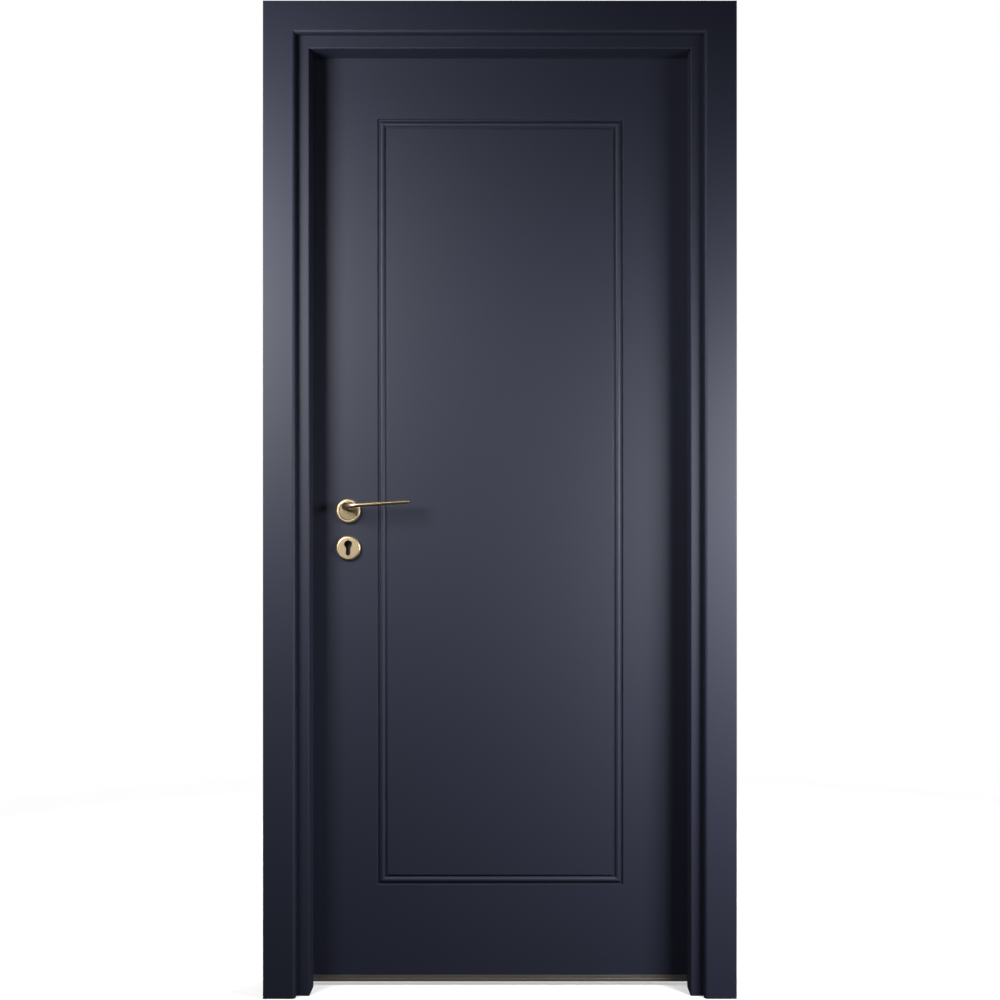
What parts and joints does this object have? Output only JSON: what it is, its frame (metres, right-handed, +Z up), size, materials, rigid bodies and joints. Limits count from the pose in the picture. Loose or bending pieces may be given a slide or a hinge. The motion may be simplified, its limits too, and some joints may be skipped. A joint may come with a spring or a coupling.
{
  "type": "interior door with frame",
  "caption": "Hinged interior door in its rebated frame, with casings on both wall faces, a framed bead on the leaf, lever handles on round roses and a mortise lock.",
  "frame": {"origin": "on the finished floor, in the middle of the clear passage and of the wall thickness", "axes": "+X along the wall towards the hinge side, +Y through the wall away from the push side, +Z up"},
  "size_m": [0.995, 0.183, 2.095],
  "materials": {
    "lacquered_wood": "satin dark navy lacquer",
    "satin_brass": "satin",
    "lock_steel": "brushed",
    "gasket_rubber": "matt",
    "dark_plastic": "matt",
    "strip_aluminium": "anodised grey-brown"
  },
  "bodies": {
    "frame": {"jamb_left": "lacquered_wood", "jamb_right": "lacquered_wood", "jamb_head": "lacquered_wood", "casing_front_left": "lacquered_wood", "casing_front_right": "lacquered_wood", "casing_front_head": "lacquered_wood", "casing_rear_left": "lacquered_wood", "casing_rear_right": "lacquered_wood", "casing_rear_head": "lacquered_wood", "gasket_left": "gasket_rubber", "gasket_right": "gasket_rubber", "gasket_head": "gasket_rubber", "corner_screws": "lock_steel", "strike_plate": "lock_steel", "strike_box": "dark_plastic", "strike_screws": "lock_steel", "hinge_jamb_plate_low": "satin_brass", "hinge_jamb_plate_mid": "satin_brass", "hinge_jamb_plate_top": "satin_brass", "hinge_pin_low": "satin_brass", "hinge_pin_mid": "satin_brass", "hinge_pin_top": "satin_brass", "hinge_jamb_screws": "satin_brass"},
    "leaf": {"leaf_panel": "lacquered_wood", "bead_front_left": "lacquered_wood", "bead_front_right": "lacquered_wood", "bead_front_top": "lacquered_wood", "bead_front_bottom": "lacquered_wood", "bead_rear_left": "lacquered_wood", "bead_rear_right": "lacquered_wood", "bead_rear_top": "lacquered_wood", "bead_rear_bottom": "lacquered_wood", "bottom_strip": "strip_aluminium", "lock_case": "lock_steel", "lock_forend": "lock_steel", "forend_screws": "lock_steel", "rose_base_front": "dark_plastic", "rose_base_rear": "dark_plastic", "rose_cover_front": "satin_brass", "rose_cover_rear": "satin_brass", "rose_bolts": "lock_steel", "escutcheon_base": "dark_plastic", "escutcheon_cover": "satin_brass", "hinge_leaf_plate_low": "satin_brass", "hinge_leaf_plate_mid": "satin_brass", "hinge_leaf_plate_top": "satin_brass", "hinge_leaf_screws": "satin_brass"},
    "handle": {"lever_front": "satin_brass", "lever_rear": "satin_brass", "spindle": "lock_steel", "lock_follower": "lock_steel", "lever_clips": "lock_steel"},
    "latch": {"latch_bolt": "lock_steel"},
    "deadbolt": {"deadbolt": "lock_steel"}
  },
  "joints": [
    {"name": "leaf_swing", "type": "hinge", "parent": "frame", "child": "leaf", "pos_m": [0.411, 0.0615, 1.015], "axis": [0, 0, -1], "range_deg": [0, 110]},
    {"name": "handle_turn", "type": "hinge", "parent": "leaf", "child": "handle", "pos_m": [-0.3275, 0.035, 1.0245], "axis": [0, 1, 0], "range_deg": [0, 40], "stiffness_Nm_per_rad": 1.2, "springref_deg": -34.38},
    {"name": "latch_slide", "type": "slide", "parent": "leaf", "child": "latch", "axis": [-1, 0, 0], "range_m": [0, 0.011], "stiffness_N_per_m": 60, "springref_m": -0.005},
    {"name": "deadbolt_slide", "type": "slide", "parent": "leaf", "child": "deadbolt", "axis": [-1, 0, 0], "range_m": [0, 0.015]}
  ]
}
